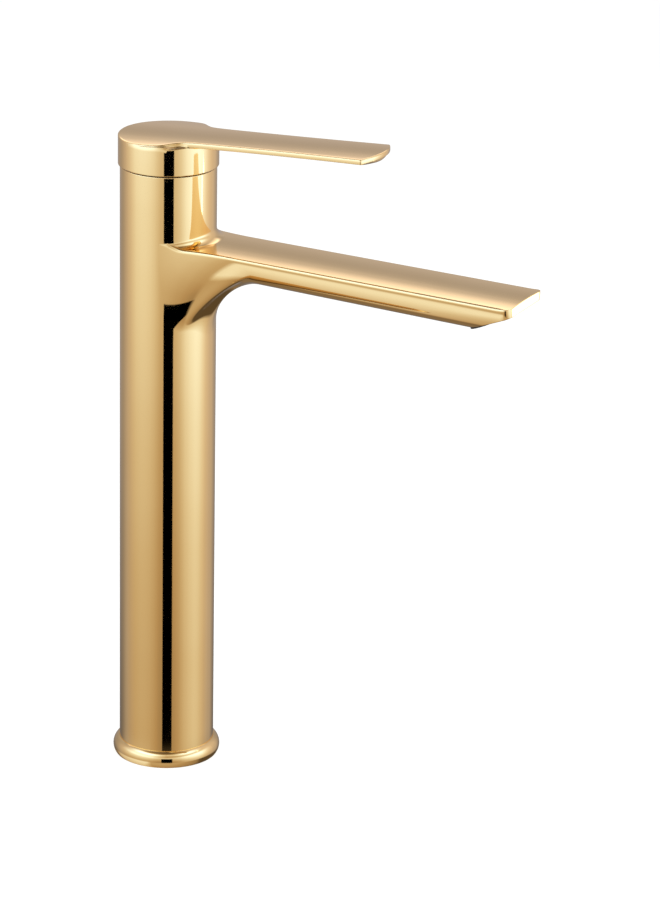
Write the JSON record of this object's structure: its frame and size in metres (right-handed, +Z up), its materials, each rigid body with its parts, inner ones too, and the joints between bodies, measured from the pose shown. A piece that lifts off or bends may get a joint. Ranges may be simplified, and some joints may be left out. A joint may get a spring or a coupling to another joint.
{
  "type": "basin mixer faucet",
  "caption": "Tall single-lever basin mixer: round column on a beaded base ring, flat-topped spout with a slanted aerator face, and a paddle lever that lifts and swivels.",
  "frame": {"origin": "on the column axis, at the deck plane that the base rests on", "axes": "+Z up along the column, +X along the spout from the column to the nose, +Y across"},
  "size_m": [0.208, 0.051, 0.3147],
  "materials": {
    "polished_gold": "mirror-polished gold plating",
    "bare_brass": "machined brass",
    "stainless_steel": "turned stainless steel",
    "black_rubber": "moulded rubber",
    "grey_acetal": "moulded acetal",
    "white_acetal": "moulded acetal",
    "black_acetal": "moulded acetal",
    "red_acetal": "moulded acetal",
    "ceramic": "lapped alumina ceramic",
    "plug_plastic": "gold-coloured plastic"
  },
  "bodies": {
    "body": {"body_casting": "polished_gold", "base_ring": "polished_gold", "bonnet": "polished_gold", "foot_plate": "bare_brass", "cartridge_nut": "bare_brass", "base_gasket": "black_rubber", "cartridge_port_seals": "black_rubber", "disc_seals": "black_rubber", "aerator_washer": "black_rubber", "cartridge_base": "grey_acetal", "cartridge_housing": "grey_acetal", "aerator_shell": "black_acetal", "aerator_insert": "black_acetal", "hot_limit_ring": "red_acetal", "fixed_disc": "ceramic"},
    "rotor": {"cartridge_rotor": "white_acetal", "pivot_pin": "stainless_steel", "rotor_seal": "black_rubber"},
    "lever": {"lever_stem": "stainless_steel", "lever_handle": "polished_gold", "handle_set_screw": "stainless_steel", "index_plug": "plug_plastic"},
    "disc": {"disc_carrier": "grey_acetal", "moving_disc": "ceramic"}
  },
  "joints": [
    {"name": "temperature_swivel", "type": "hinge", "parent": "body", "child": "rotor", "pos_m": [0, 0, 0.2825], "axis": [0, 0, 1], "range_deg": [-45, 45]},
    {"name": "lever_lift", "type": "hinge", "parent": "rotor", "child": "lever", "pos_m": [0, 0, 0.2825], "axis": [0, -1, 0], "range_deg": [0, 25]},
    {"name": "disc_slide", "type": "slide", "parent": "rotor", "child": "disc", "axis": [1, 0, 0], "range_m": [0, 0.005]}
  ],
  "couplings": [
    {"joint": "disc_slide", "follows": "lever_lift", "m_per_rad": 0.011211}
  ]
}
